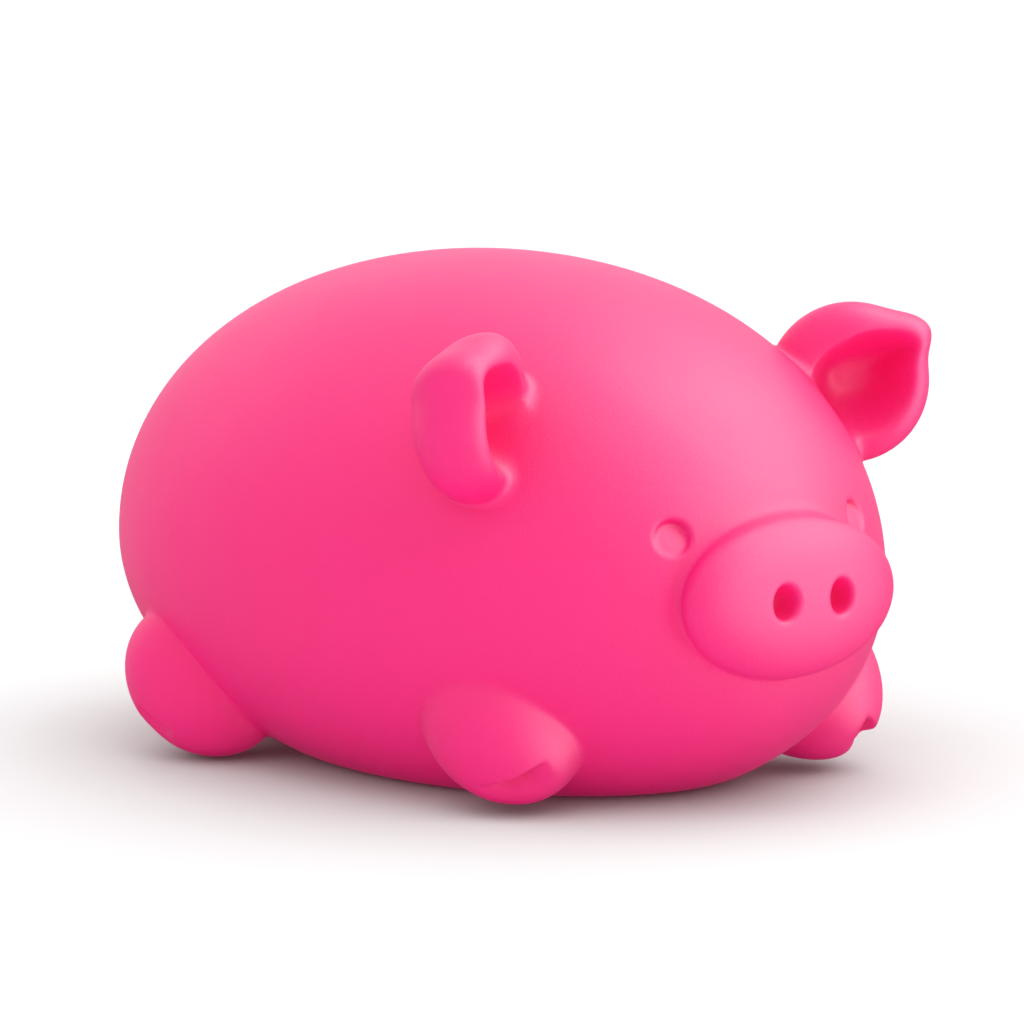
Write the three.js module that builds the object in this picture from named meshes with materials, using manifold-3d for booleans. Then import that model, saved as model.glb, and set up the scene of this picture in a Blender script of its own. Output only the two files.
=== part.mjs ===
// Pig squeeze toy: a hollow soft rubber skin with a dough-like filling and a belly plug.
// Ears, legs, tail and snout are moulded on the skin, and each is a solid of its own.
// Millimetres, +Z up. The pig faces -Y, +X is its left side, and it lies on its belly at Z = 0.

import * as THREE from 'three';
import { mergeVertices } from 'three/addons/utils/BufferGeometryUtils.js';
import Module from 'manifold-3d';

const wasm = await Module();
wasm.setup();

// Body and head: one egg, wider than it is high, with a flat belly
const BODY_LENGTH = 100;
const BODY_WIDTH = 73.8;
const GIRTH_HEIGHT = 23.1;
const BACK_RISE = 33.4;
const BELLY_DROP = 27.65;
const RUMP_LIFT = 1.03;
const RUMP_WIDENING = 0.033;
const END_WIDENING = 0.031;
const RUMP_LOWERING = 0.03;
const END_FULLNESS = 0.088;
const SKIN_WALL = 2.6;

// Clearances between neighbouring solids
const MOULD_GAP = 0.3;
const FILL_CLEARANCE = 0.3;
const PLUG_CLEARANCE = 0.3;
const FLOOR_CLEARANCE = 0.3;

// Eyes: round flat-floored dimples in the skin
const EYE_BEARING = 20.9;
const EYE_ELEVATION = 13.3;
const EYE_WIDTH = 4.4;
const EYE_DEPTH = 0.8;
const EYE_BEVEL = 0.5;

// Snout: a thick oval disc with full round edges and two oval nostrils
const SNOUT_WIDTH = 25.7;
const SNOUT_HEIGHT = 18;
const SNOUT_THICKNESS = 7.4;
const SNOUT_SINK = 0.6;
const SNOUT_RISE = 0.5;
const SNOUT_TILT = 8;
const SNOUT_SQUARENESS = 3.5;
const NOSTRIL_SPACING = 7.4;
const NOSTRIL_RISE = 0.7;
const NOSTRIL_WIDTH = 3.7;
const NOSTRIL_HEIGHT = 4.3;
const NOSTRIL_DEPTH = 4;

// Ears: thick cupped leaves that open forwards, with a soft point
const EAR_BEARING = 41.9;
const EAR_ELEVATION = 32.1;
const EAR_SINK = 1.1;
const EAR_TURN_IN = 27.4;
const EAR_LEAN = 37.6;
const EAR_REACH = 4.6;
const EAR_WIDTH = 18.4;
const EAR_TIP = 2.1;
const EAR_TIP_SPREAD = 16;
const EAR_DEPTH = 10.7;
const EAR_BACK_DROP = 0.2;
const EAR_WALL = 3.8;
const EAR_LIP_DEPTH = 2.2;
const EAR_LIP_OUTER = 0.15;
const EAR_LIP_INNER = 0.18;
const EAR_HINGE_BACK = 4.5;
const EAR_SWING = 20;

// Front legs: stubs that taper forwards to a cloven toe
const FRONT_LEG = {
  bearing: 45.3,
  elevation: -32.4,
  sink: 3.8,
  hingeBearing: 57,
  pointing: 15.5,
  pitch: -32.3,
  roll: -7.3,
  length: 21.8,
  width: 17,
  height: 22.2,
  toeTaper: 0.45,
  cleft: { pointing: 34, pitch: -22, roll: -37, reach: 9.5 },
};

// Rear legs: rounder stubs that point sideways
const REAR_LEG = {
  bearing: 117.2,
  elevation: -34.8,
  sink: 3,
  hingeBearing: 117.2,
  pointing: 95,
  pitch: -29,
  roll: 0,
  length: 20.5,
  width: 21.4,
  height: 19.6,
  toeTaper: 0,
  cleft: { pointing: 95, pitch: -29, roll: 62, reach: 10.2 },
};
const LEG_SWING = 6;
const CLEFT_LENGTH = 10;
const CLEFT_WIDTH = 2.6;
const CLEFT_DEPTH = 2.6;

// Tail: a tapered curl on the rump
const TAIL_ELEVATION = 22.5;
const TAIL_ROOT_DIAMETER = 5;
const TAIL_TIP_DIAMETER = 3;
const TAIL_CURL_RADIUS = 3.4;
const TAIL_TURNS = 1.2;
const TAIL_REACH = 8;
const TAIL_SINK = 2.5;
const TAIL_SWING = 15;

// Fill port in the belly and the plug that closes it
const PORT_BEHIND_MIDDLE = 12;
const PORT_DIAMETER = 6.6;
const PLUG_HEAD_DIAMETER = 12;
const PLUG_HEAD_THICKNESS = 1;
const PLUG_RECESS = 0.3;
const PLUG_BARB_OVERHANG = 1;
const PLUG_BARB_THICKNESS = 2;

// Fineness of the round surfaces
const SKIN_DETAIL = 9;
const CAVITY_DETAIL = 6;
const SNOUT_DETAIL = 6;
const LEG_DETAIL = 4;
const ROUND_SEGMENTS = 24;
const EAR_SEGMENTS = 28;
const EAR_ARC_STEPS = 4;
const TAIL_STEPS = 22;
const TAIL_SIDES = 8;

// Colours of the pieces
const SKIN_COLOUR = 0xf7528f;
const PLUG_COLOUR = 0xe23c7e;
const FILLING_COLOUR = 0xf2dfd2;

const X_AXIS = new THREE.Vector3(1, 0, 0);
const Y_AXIS = new THREE.Vector3(0, 1, 0);
const Z_AXIS = new THREE.Vector3(0, 0, 1);
const toRadians = THREE.MathUtils.degToRad;

// Solids from closed meshes, and meshes back from solids
function solidOf(geometry) {
  const bare = geometry.clone();
  bare.deleteAttribute('normal');
  bare.deleteAttribute('uv');
  const merged = mergeVertices(bare);
  const mesh = new wasm.Mesh({
    numProp: 3,
    vertProperties: new Float32Array(merged.attributes.position.array),
    triVerts: new Uint32Array(merged.index.array),
  });
  return new wasm.Manifold(mesh);
}

function geometryOf(solid) {
  const mesh = solid.getMesh();
  const geometry = new THREE.BufferGeometry();
  geometry.setAttribute('position', new THREE.BufferAttribute(new Float32Array(mesh.vertProperties), 3));
  geometry.setIndex(new THREE.BufferAttribute(new Uint32Array(mesh.triVerts), 1));
  return geometry;
}

// Moves every vertex of a geometry to where a formula puts it
function reshape(geometry, formula) {
  const positions = geometry.attributes.position;
  const point = new THREE.Vector3();
  for (let i = 0; i < positions.count; i += 1) {
    point.fromBufferAttribute(positions, i);
    const moved = formula(point);
    positions.setXYZ(i, moved.x, moved.y, moved.z);
  }
  return geometry;
}

function mirrored(geometry) {
  const copy = geometry.clone().applyMatrix4(new THREE.Matrix4().makeScale(-1, 1, 1));
  const index = copy.index.array;
  for (let i = 0; i < index.length; i += 3) {
    const first = index[i];
    index[i] = index[i + 1];
    index[i + 1] = first;
  }
  return copy;
}

function turnedAbout(geometry, point, axis, degrees) {
  const turn = new THREE.Matrix4().makeTranslation(point.x, point.y, point.z);
  turn.multiply(new THREE.Matrix4().makeRotationAxis(axis, toRadians(degrees)));
  turn.multiply(new THREE.Matrix4().makeTranslation(-point.x, -point.y, -point.z));
  return geometry.clone().applyMatrix4(turn);
}

// A direction from the middle of the body: bearing from the nose towards the left side, then elevation
function directionAt(bearing, elevation) {
  const side = toRadians(bearing);
  const rise = toRadians(elevation);
  return new THREE.Vector3(
    Math.sin(side) * Math.cos(rise),
    -Math.cos(side) * Math.cos(rise),
    Math.sin(rise),
  );
}

// The egg's surface in a direction, grown outwards by a margin
function bodyPoint(direction, margin) {
  const along = direction.y;
  const breadth = 1 + RUMP_WIDENING * along + END_WIDENING * along * along;
  const fullness = 1 - RUMP_LOWERING * along + END_FULLNESS * along * along;
  const reach = direction.z > 0 ? BACK_RISE : BELLY_DROP;
  return new THREE.Vector3(
    (BODY_WIDTH / 2 + margin) * direction.x * breadth,
    (BODY_LENGTH / 2 + margin) * along,
    GIRTH_HEIGHT + (reach + margin) * direction.z * fullness + RUMP_LIFT * along,
  );
}

function bodyEgg(margin, detail) {
  const ball = new THREE.IcosahedronGeometry(1, detail);
  return reshape(ball, (direction) => bodyPoint(direction, margin));
}

// A place on the body: the point on its surface and the way out of it there
function seatAt(bearing, elevation) {
  const nudge = 0.5;
  const point = bodyPoint(directionAt(bearing, elevation), 0);
  const around = bodyPoint(directionAt(bearing + nudge, elevation), 0).sub(point);
  const upward = bodyPoint(directionAt(bearing, elevation + nudge), 0).sub(point);
  const out = around.cross(upward).normalize();
  return { point, out };
}

// Everything below a level, as one block
function blockBelow(level) {
  const size = 2 * BODY_LENGTH;
  return solidOf(new THREE.BoxGeometry(size, size, size).translate(0, 0, level - size / 2));
}

function uprightCylinder(diameter, bottom, top, y) {
  const cylinder = new THREE.CylinderGeometry(diameter / 2, diameter / 2, top - bottom, ROUND_SEGMENTS);
  cylinder.rotateX(Math.PI / 2);
  return solidOf(cylinder.translate(0, y, (bottom + top) / 2));
}

// A moulded feature stops short of the body, at rest and when it is bent either way at its root
function clearOfBody(solid, hinge, axis, swing) {
  const body = bodyEgg(MOULD_GAP, SKIN_DETAIL);
  let clear = solid.subtract(solidOf(body));
  for (const angle of [-swing, swing]) {
    clear = clear.subtract(solidOf(turnedAbout(body, hinge, axis, angle)));
  }
  return clear;
}

// Hollow skin with a flat belly, eye dimples and a counterbored fill port
const portBore = PORT_DIAMETER;
const portSeat = PLUG_RECESS + PLUG_HEAD_THICKNESS + PLUG_CLEARANCE;
const portCounterbore = PLUG_HEAD_DIAMETER + 2 * PLUG_CLEARANCE;

function eyeCutter() {
  const seat = seatAt(EYE_BEARING, EYE_ELEVATION);
  const height = 2 * EYE_DEPTH;
  const cutter = new THREE.CylinderGeometry(EYE_WIDTH / 2 + EYE_BEVEL, EYE_WIDTH / 2 - EYE_BEVEL, height, ROUND_SEGMENTS);
  const turn = new THREE.Quaternion().setFromUnitVectors(Y_AXIS, seat.out);
  cutter.applyQuaternion(turn);
  return cutter.translate(seat.point.x, seat.point.y, seat.point.z);
}

function bodySkin() {
  const outside = solidOf(bodyEgg(0, SKIN_DETAIL)).subtract(blockBelow(0));
  const cavity = solidOf(bodyEgg(-SKIN_WALL, CAVITY_DETAIL)).subtract(blockBelow(SKIN_WALL));
  const bore = uprightCylinder(portBore, -SKIN_WALL, 2 * SKIN_WALL, PORT_BEHIND_MIDDLE);
  const counterbore = uprightCylinder(portCounterbore, -portSeat, portSeat, PORT_BEHIND_MIDDLE);
  const leftEye = geometryOf(solidOf(eyeCutter()));
  const eyes = solidOf(leftEye).add(solidOf(mirrored(leftEye)));
  return geometryOf(outside.subtract(cavity).subtract(bore).subtract(counterbore).subtract(eyes));
}

// Plug: a flat head in the counterbore, a stem through the wall and a barb inside
const plugStem = PORT_DIAMETER - 2 * PLUG_CLEARANCE;
const plugBarb = PORT_DIAMETER + 2 * PLUG_BARB_OVERHANG;
const plugNeckTop = SKIN_WALL + PLUG_CLEARANCE;
const plugTop = plugNeckTop + PLUG_BARB_THICKNESS;

function fillPlug() {
  const headTop = PLUG_RECESS + PLUG_HEAD_THICKNESS;
  const profile = [
    new THREE.Vector2(0, PLUG_RECESS),
    new THREE.Vector2(PLUG_HEAD_DIAMETER / 2, PLUG_RECESS),
    new THREE.Vector2(PLUG_HEAD_DIAMETER / 2, headTop),
    new THREE.Vector2(plugStem / 2, headTop),
    new THREE.Vector2(plugStem / 2, plugNeckTop),
    new THREE.Vector2(plugBarb / 2, plugNeckTop),
    new THREE.Vector2(plugStem / 2, plugTop),
    new THREE.Vector2(0, plugTop),
  ];
  const plug = new THREE.LatheGeometry(profile, ROUND_SEGMENTS);
  plug.rotateX(Math.PI / 2);
  return geometryOf(solidOf(plug.translate(0, PORT_BEHIND_MIDDLE, 0)));
}

// Filling: the cavity's shape less its clearance, moulded round the plug's inner end
function filling() {
  const inset = SKIN_WALL + FILL_CLEARANCE;
  const mass = solidOf(bodyEgg(-inset, CAVITY_DETAIL)).subtract(blockBelow(inset));
  const plugRoom = uprightCylinder(
    plugBarb + 2 * FILL_CLEARANCE,
    0,
    plugTop + FILL_CLEARANCE,
    PORT_BEHIND_MIDDLE,
  );
  return geometryOf(mass.subtract(plugRoom));
}

// Snout: an oval disc, rounder at its rim than a drum, set on the front of the body
function snout() {
  const shape = reshape(new THREE.IcosahedronGeometry(1, SNOUT_DETAIL), (direction) => {
    const oval = Math.hypot(direction.x / SNOUT_WIDTH, direction.z / SNOUT_HEIGHT) * 2;
    const depth = Math.abs(direction.y / SNOUT_THICKNESS) * 2;
    const size = (oval ** SNOUT_SQUARENESS + depth ** SNOUT_SQUARENESS) ** (-1 / SNOUT_SQUARENESS);
    return direction.clone().multiplyScalar(size);
  });
  const nostril = new THREE.SphereGeometry(1, ROUND_SEGMENTS / 2, ROUND_SEGMENTS / 2);
  nostril.scale(NOSTRIL_WIDTH / 2, NOSTRIL_DEPTH, NOSTRIL_HEIGHT / 2);
  nostril.translate(NOSTRIL_SPACING / 2, -SNOUT_THICKNESS / 2, NOSTRIL_RISE);
  const leftNostril = geometryOf(solidOf(nostril));
  const disc = solidOf(shape).subtract(solidOf(leftNostril)).subtract(solidOf(mirrored(leftNostril)));
  const placed = geometryOf(disc);
  placed.rotateX(toRadians(SNOUT_TILT));
  placed.translate(0, SNOUT_SINK - BODY_LENGTH / 2, GIRTH_HEIGHT + SNOUT_RISE);
  return geometryOf(solidOf(placed).subtract(solidOf(bodyEgg(MOULD_GAP, SKIN_DETAIL))));
}

// Ear: a bowl of revolution drawn out to a leaf, with a rolled lip, standing on the side of the head
function earRim(angle) {
  const spread = toRadians(EAR_TIP_SPREAD);
  return EAR_WIDTH / 2 + EAR_TIP * Math.exp(-((angle / spread) ** 2));
}

function quarterArc(middle, across, along, from) {
  const points = [];
  for (let i = 0; i < EAR_ARC_STEPS; i += 1) {
    const angle = from + (Math.PI / 2) * (i / EAR_ARC_STEPS);
    points.push(new THREE.Vector2(middle.x + across * Math.cos(angle), middle.y + along * Math.sin(angle)));
  }
  return points;
}

function earBowl() {
  const lipMiddle = new THREE.Vector2(1 - EAR_LIP_OUTER, -EAR_LIP_DEPTH);
  const lipInside = lipMiddle.x - EAR_LIP_INNER;
  const cupDepth = EAR_DEPTH - EAR_WALL;
  const cupWall = cupDepth - EAR_LIP_DEPTH;
  const back = quarterArc(new THREE.Vector2(0, -EAR_LIP_DEPTH), 1, EAR_DEPTH - EAR_LIP_DEPTH, -Math.PI / 2);
  const outerLip = quarterArc(lipMiddle, EAR_LIP_OUTER, EAR_LIP_DEPTH, 0);
  const innerLip = quarterArc(lipMiddle, EAR_LIP_INNER, EAR_LIP_DEPTH, Math.PI / 2);
  const cup = quarterArc(new THREE.Vector2(0, -EAR_LIP_DEPTH), lipInside, -cupWall, 0);
  const floor = new THREE.Vector2(0, -cupDepth);
  const profile = [...back, ...outerLip, ...innerLip, ...cup, floor];
  profile[0].x = 0;
  return new THREE.LatheGeometry(profile, EAR_SEGMENTS);
}

const earSeat = seatAt(EAR_BEARING, EAR_ELEVATION);
const earTurn = toRadians(EAR_TURN_IN);
const earLean = toRadians(EAR_LEAN);
const earSideways = new THREE.Vector3(Math.cos(earTurn), -Math.sin(earTurn), 0);
const earOpening = new THREE.Vector3(-Math.sin(earTurn), -Math.cos(earTurn), 0);
const earOut = earSideways.clone().multiplyScalar(Math.cos(earLean)).addScaledVector(Z_AXIS, Math.sin(earLean));
const earUp = earSideways.clone().multiplyScalar(-Math.sin(earLean)).addScaledVector(Z_AXIS, Math.cos(earLean));
const earHinge = earSeat.point.clone().addScaledVector(earOpening, -EAR_HINGE_BACK);

function leftEar() {
  const root = earSeat.point.clone().addScaledVector(earSeat.out, -EAR_SINK);
  const shape = reshape(earBowl(), (point) => {
    const angle = Math.atan2(point.x, point.z);
    const rim = earRim(angle) * Math.hypot(point.x, point.z);
    return root.clone()
      .addScaledVector(earOut, EAR_REACH + rim * Math.cos(angle))
      .addScaledVector(earUp, rim * Math.sin(angle) + EAR_BACK_DROP * point.y)
      .addScaledVector(earOpening, point.y);
  });
  return geometryOf(clearOfBody(solidOf(shape), earHinge, earUp, EAR_SWING));
}

// Leg: a stub half sunk in the body, with a cleft in its toe
function lieTowards(geometry, { pointing, pitch, roll }) {
  const ahead = directionAt(pointing, pitch);
  const level = new THREE.Vector3().crossVectors(Z_AXIS, ahead).normalize();
  const wide = level.applyAxisAngle(ahead, toRadians(roll));
  const high = new THREE.Vector3().crossVectors(wide, ahead);
  return geometry.applyMatrix4(new THREE.Matrix4().makeBasis(wide, ahead, high));
}

function leftLeg(leg) {
  const seat = seatAt(leg.bearing, leg.elevation);
  const middle = seat.point.clone().addScaledVector(seat.out, -leg.sink);
  const stub = reshape(new THREE.IcosahedronGeometry(1, LEG_DETAIL), (direction) => {
    const girth = 1 - leg.toeTaper * direction.y;
    return new THREE.Vector3(
      (leg.width / 2) * girth * direction.x,
      (leg.length / 2) * direction.y,
      (leg.height / 2) * girth * direction.z,
    );
  });
  lieTowards(stub, leg);
  const cleft = new THREE.SphereGeometry(1, ROUND_SEGMENTS / 2, ROUND_SEGMENTS / 2);
  cleft.scale(CLEFT_LENGTH / 2, CLEFT_DEPTH, CLEFT_WIDTH / 2);
  cleft.translate(0, leg.cleft.reach, 0);
  lieTowards(cleft, leg.cleft);
  const cloven = solidOf(stub).subtract(solidOf(cleft)).translate(middle.toArray());
  const standing = cloven.subtract(blockBelow(FLOOR_CLEARANCE));
  const hinge = seatAt(leg.hingeBearing, leg.elevation).point;
  return geometryOf(clearOfBody(standing, hinge, Z_AXIS, LEG_SWING));
}

// Tail: a tapered rod wound into a curl that stands off the rump
const tailSeat = seatAt(180, TAIL_ELEVATION);
const tailUp = new THREE.Vector3().crossVectors(X_AXIS, tailSeat.out).normalize();

class CurlCurve extends THREE.Curve {
  getPoint(t) {
    const angle = 2 * Math.PI * TAIL_TURNS * t;
    const radius = TAIL_CURL_RADIUS * Math.sin((Math.PI / 2) * Math.min(1, 2 * t));
    return tailSeat.point.clone()
      .addScaledVector(tailSeat.out, (TAIL_REACH + TAIL_SINK) * t - TAIL_SINK)
      .addScaledVector(X_AXIS, radius * Math.cos(angle))
      .addScaledVector(tailUp, radius * Math.sin(angle));
  }
}

function tail() {
  const curl = new CurlCurve();
  const frames = curl.computeFrenetFrames(TAIL_STEPS, false);
  const rod = new THREE.CapsuleGeometry(1, TAIL_STEPS, 2, TAIL_SIDES, TAIL_STEPS);
  const shape = reshape(rod, (point) => {
    const step = THREE.MathUtils.clamp(Math.round(point.y + TAIL_STEPS / 2), 0, TAIL_STEPS);
    const along = step / TAIL_STEPS;
    const radius = THREE.MathUtils.lerp(TAIL_ROOT_DIAMETER, TAIL_TIP_DIAMETER, along) / 2;
    const beyond = point.y + TAIL_STEPS / 2 - step;
    return curl.getPointAt(along)
      .addScaledVector(frames.tangents[step], beyond * radius)
      .addScaledVector(frames.binormals[step], point.x * radius)
      .addScaledVector(frames.normals[step], point.z * radius);
  });
  return geometryOf(clearOfBody(solidOf(shape), tailSeat.point, tailUp, TAIL_SWING));
}

// The assembly, with the middle of its length over the origin
const skinFinish = new THREE.MeshStandardMaterial({ color: SKIN_COLOUR, roughness: 0.55, metalness: 0 });
const plugFinish = new THREE.MeshStandardMaterial({ color: PLUG_COLOUR, roughness: 0.5, metalness: 0 });
const fillingFinish = new THREE.MeshStandardMaterial({ color: FILLING_COLOUR, roughness: 0.8, metalness: 0 });
const pig = new THREE.Group();

function addPiece(name, geometry, material) {
  const piece = new THREE.Mesh(geometry, material);
  piece.name = name;
  pig.add(piece);
}

addPiece('body_skin', bodySkin(), skinFinish);
addPiece('filling', filling(), fillingFinish);
addPiece('fill_plug', fillPlug(), plugFinish);
addPiece('snout', snout(), skinFinish);
const ear = leftEar();
addPiece('left_ear', ear, skinFinish);
addPiece('right_ear', mirrored(ear), skinFinish);
for (const [place, sizes] of [['front', FRONT_LEG], ['rear', REAR_LEG]]) {
  const leg = leftLeg(sizes);
  addPiece(`${place}_left_leg`, leg, skinFinish);
  addPiece(`${place}_right_leg`, mirrored(leg), skinFinish);
}
addPiece('tail', tail(), skinFinish);

const outline = new THREE.Box3().setFromObject(pig);
pig.position.y = -(outline.min.y + outline.max.y) / 2;

export default pig;
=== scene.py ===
"""Looks of a dough-filled pig squeeze toy: a soft rubber skin with moulded snout, ears, legs and tail.

Metres, +Z up. The pig faces -Y, +X is its left side, and it lies on its belly on the floor at Z = 0.
"""

import logging
import math
from collections.abc import Callable, Sequence
from dataclasses import dataclass
from enum import Enum

import bmesh
import bpy
import numpy as np
from mathutils import Matrix, Vector
from mathutils.bvhtree import BVHTree


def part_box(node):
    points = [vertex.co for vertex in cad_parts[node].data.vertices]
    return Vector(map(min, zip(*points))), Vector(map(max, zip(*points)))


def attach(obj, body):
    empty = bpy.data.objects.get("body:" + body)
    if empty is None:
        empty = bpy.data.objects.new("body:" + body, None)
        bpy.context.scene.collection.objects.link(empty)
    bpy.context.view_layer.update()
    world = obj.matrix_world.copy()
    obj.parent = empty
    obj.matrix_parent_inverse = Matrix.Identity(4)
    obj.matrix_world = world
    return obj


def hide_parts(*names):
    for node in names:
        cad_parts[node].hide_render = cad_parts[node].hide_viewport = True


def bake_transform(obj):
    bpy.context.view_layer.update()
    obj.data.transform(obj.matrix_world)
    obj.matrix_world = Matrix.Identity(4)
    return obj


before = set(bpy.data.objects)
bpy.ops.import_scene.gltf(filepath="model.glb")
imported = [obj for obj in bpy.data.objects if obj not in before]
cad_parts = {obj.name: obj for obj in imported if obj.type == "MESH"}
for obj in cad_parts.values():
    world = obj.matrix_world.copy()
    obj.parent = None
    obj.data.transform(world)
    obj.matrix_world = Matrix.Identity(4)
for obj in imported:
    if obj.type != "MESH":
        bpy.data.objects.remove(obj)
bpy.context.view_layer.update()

MM = 0.001
FAR = 1.0
TINY = 1e-6
MERGE_DISTANCE = 1e-7

log = logging.getLogger("pig")

Points = np.ndarray
Values = np.ndarray


class Side(Enum):
    """A side of the pig, with the sign of X there."""

    LEFT = 1
    RIGHT = -1


def smooth_min(first: Values, second: Values, reach: float) -> Values:
    """Gives the lesser of two distances, with the corner between them filled.

    Args:
        first: Distances to one shape.
        second: Distances to the other shape.
        reach: How far from the corner the filling starts.

    Returns:
        Distances to both shapes run together.
    """
    overlap = np.maximum(reach - np.abs(first - second), 0) / reach
    return np.minimum(first, second) - overlap**2 * reach / 4


def smooth_max(first: Values, second: Values, reach: float) -> Values:
    """Gives the greater of two distances, with the edge between them rounded."""
    return -smooth_min(-first, -second, reach)


def smooth_step(values: Values) -> Values:
    """Eases values from 0 to 1, level at both ends."""
    clipped = np.clip(values, 0, 1)
    return clipped**2 * (3 - 2 * clipped)


def unit(vectors: Points) -> Points:
    """Scales vectors to a length of one."""
    return vectors / np.linalg.norm(vectors, axis=-1, keepdims=True)


def direction_at(bearing: float, elevation: float) -> Points:
    """Gives a direction from the nose round to the left side, and then up.

    Args:
        bearing: Degrees round from the nose towards the pig's left.
        elevation: Degrees above the level.

    Returns:
        A unit vector.
    """
    side, rise = math.radians(bearing), math.radians(elevation)
    return np.array([math.sin(side) * math.cos(rise), -math.cos(side) * math.cos(rise), math.sin(rise)])


def close_in(low: Values, high: Values, steps: int, short: Callable[[Values], Values]) -> Values:
    """Halves stretches until they end where a test stops being true.

    Args:
        low: Where the test is true.
        high: Where it is false.
        steps: How often each stretch is halved.
        short: The test.

    Returns:
        The upper ends.
    """
    for _ in range(steps):
        half = (low + high) / 2
        passed = short(half)
        low, high = np.where(passed, half, low), np.where(passed, high, half)
    return high


def points_of(mesh: bpy.types.Mesh) -> Points:
    """Gives a finished mesh's points, one a row."""
    return np.array([vertex.co for vertex in mesh.vertices])


@dataclass(frozen=True)
class Seat:
    """A place on the body: a point on its surface and the way out of it there."""

    point: Points
    out: Points


@dataclass(frozen=True)
class BodyEgg:
    """The egg of body and head, wider than it is high, that everything else sits on."""

    length: float
    width: float
    top: float
    middle: float
    girth_height: float = 23.1 * MM
    belly_drop: float = 27.65 * MM
    rump_lift: float = 1.03 * MM
    rump_widening: float = 0.033
    end_widening: float = 0.031
    rump_lowering: float = 0.03
    end_fullness: float = 0.088
    belly_rounding: float = 1.2 * MM

    @classmethod
    def from_frame(cls) -> "BodyEgg":
        """Takes the length, width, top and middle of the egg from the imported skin."""
        low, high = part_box("body_skin")
        return cls(high.y - low.y, high.x - low.x, high.z, (low.y + high.y) / 2)

    @property
    def back_rise(self) -> float:
        """Gives the height of the back over the girth."""
        return self.top - self.girth_height

    @property
    def centre(self) -> Points:
        """Gives the egg's own middle."""
        return np.array([0, self.middle, self.girth_height])

    def breadths(self, along: Values) -> tuple[Values, Values]:
        """Gives how much wider and higher the egg is at a share of its length."""
        wide = 1 + self.rump_widening * along + self.end_widening * along**2
        high = 1 - self.rump_lowering * along + self.end_fullness * along**2
        return wide, high

    def point(self, directions: Points, inset: float = 0) -> Points:
        """Gives the points of the surface in some directions.

        Args:
            directions: Unit vectors, one a row.
            inset: How far inside the surface the points lie.

        Returns:
            Points, one a row.
        """
        along = directions[..., 1]
        wide, high = self.breadths(along)
        reach = np.where(directions[..., 2] > 0, self.back_rise, self.belly_drop) - inset
        return np.stack(
            [
                (self.width / 2 - inset) * directions[..., 0] * wide,
                self.middle + (self.length / 2 - inset) * along,
                self.girth_height + reach * directions[..., 2] * high + self.rump_lift * along,
            ],
            axis=-1,
        )

    def shares(self, points: Points) -> tuple[Points, Points]:
        """Gives points as shares of the egg's half sizes, and those half sizes."""
        along = (points[..., 1] - self.middle) / (self.length / 2)
        wide, high = self.breadths(along)
        rise = points[..., 2] - self.girth_height - self.rump_lift * along
        reach = np.where(rise > 0, self.back_rise, self.belly_drop) * high
        halves = np.stack([self.width / 2 * wide, np.full_like(along, self.length / 2), reach], axis=-1)
        return np.stack([points[..., 0], points[..., 1] - self.middle, rise], axis=-1) / halves, halves

    def distance(self, points: Points) -> Values:
        """Gives how far points lie outside the egg, less than zero inside."""
        shares, halves = self.shares(points)
        level = np.linalg.norm(shares, axis=-1)
        return (level - 1) * level / np.linalg.norm(shares / halves, axis=-1)

    def outward(self, points: Points) -> Points:
        """Gives the way out of the egg at points near its surface."""
        shares, halves = self.shares(points)
        return unit(shares / halves)

    def resting(self, points: Points) -> Values:
        """Gives distances to the egg with its belly pressed flat on the floor."""
        return smooth_max(self.distance(points), -points[..., 2], self.belly_rounding)

    def seat(self, bearing: float, elevation: float) -> Seat:
        """Gives the seat in a direction from the egg's middle."""
        point = self.point(direction_at(bearing, elevation))
        return Seat(point, self.outward(point))


@dataclass(frozen=True)
class Eyes:
    """Two round flat-floored dimples in the face, with soft edges."""

    egg: BodyEgg
    bearing: float = 20.9
    elevation: float = 13.3
    width: float = 3.6 * MM
    depth: float = 0.7 * MM
    slope: float = 0.28
    corner: float = 0.5 * MM
    edge: float = 0.75 * MM

    @property
    def seat(self) -> Seat:
        """Gives the seat of the left eye."""
        return self.egg.seat(self.bearing, self.elevation)

    def distance(self, points: Points) -> Values:
        """Gives distances to the two short plugs that press the dimples in."""
        offset = points.copy()
        offset[..., 0] = np.abs(offset[..., 0])
        offset -= self.seat.point
        height = offset @ self.seat.out
        flat = offset - height[..., None] * self.seat.out
        inward = np.array([-1, 0, 1])
        inward = unit(inward - (inward @ self.seat.out) * self.seat.out)
        floor = -height - self.depth - self.slope * (flat @ inward)
        return smooth_max(np.linalg.norm(flat, axis=-1) - self.width / 2, floor, self.corner)


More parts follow.
